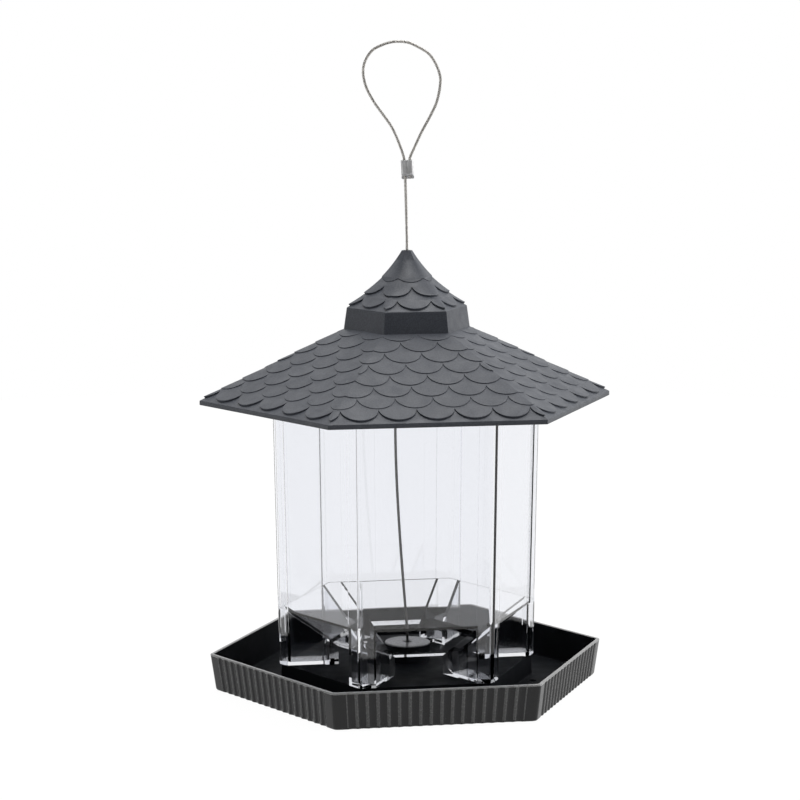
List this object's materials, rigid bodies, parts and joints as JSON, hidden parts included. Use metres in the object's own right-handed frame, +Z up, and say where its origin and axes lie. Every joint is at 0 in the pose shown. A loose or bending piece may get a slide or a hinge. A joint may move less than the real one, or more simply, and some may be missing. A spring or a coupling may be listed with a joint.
{
  "type": "hanging bird feeder",
  "caption": "Six-sided gazebo seed feeder: shingled roof and clear hopper stacked on a fluted tray, threaded on a wire rope with a crimped hanging loop.",
  "frame": {"origin": "on the ground under the middle of the tray", "axes": "+Z up along the rope; -Y is the front side wall; the hexagons' corners point along +X and -X"},
  "size_m": [0.215, 0.1862, 0.3341],
  "materials": {
    "black_plastic": "semi-gloss moulded",
    "clear_plastic": "clear, polished",
    "slate_plastic": "satin with a fine grain",
    "steel_rope": "bright stranded wire",
    "aluminium": "satin, crimped",
    "steel_washer": "zinc plated"
  },
  "bodies": {
    "tray": {"tray": "black_plastic"},
    "hanger": {"hanging_rope": "steel_rope", "loop_ferrule": "aluminium", "stop_sleeve": "aluminium", "stop_washer": "steel_washer"},
    "hopper": {"hopper": "clear_plastic"},
    "roof": {"roof": "slate_plastic"}
  },
  "joints": [
    {"name": "hopper_lift", "type": "slide", "parent": "tray", "child": "hopper", "axis": [0, 0, 1], "range_m": [0, 0.01]},
    {"name": "roof_lift", "type": "slide", "parent": "hopper", "child": "roof", "axis": [0, 0, 1], "range_m": [0, 0.025]},
    {"name": "hanger_swivel", "type": "hinge", "parent": "tray", "child": "hanger", "pos_m": [0, 0, 0.0197], "axis": [0, 0, 1], "continuous": true}
  ]
}
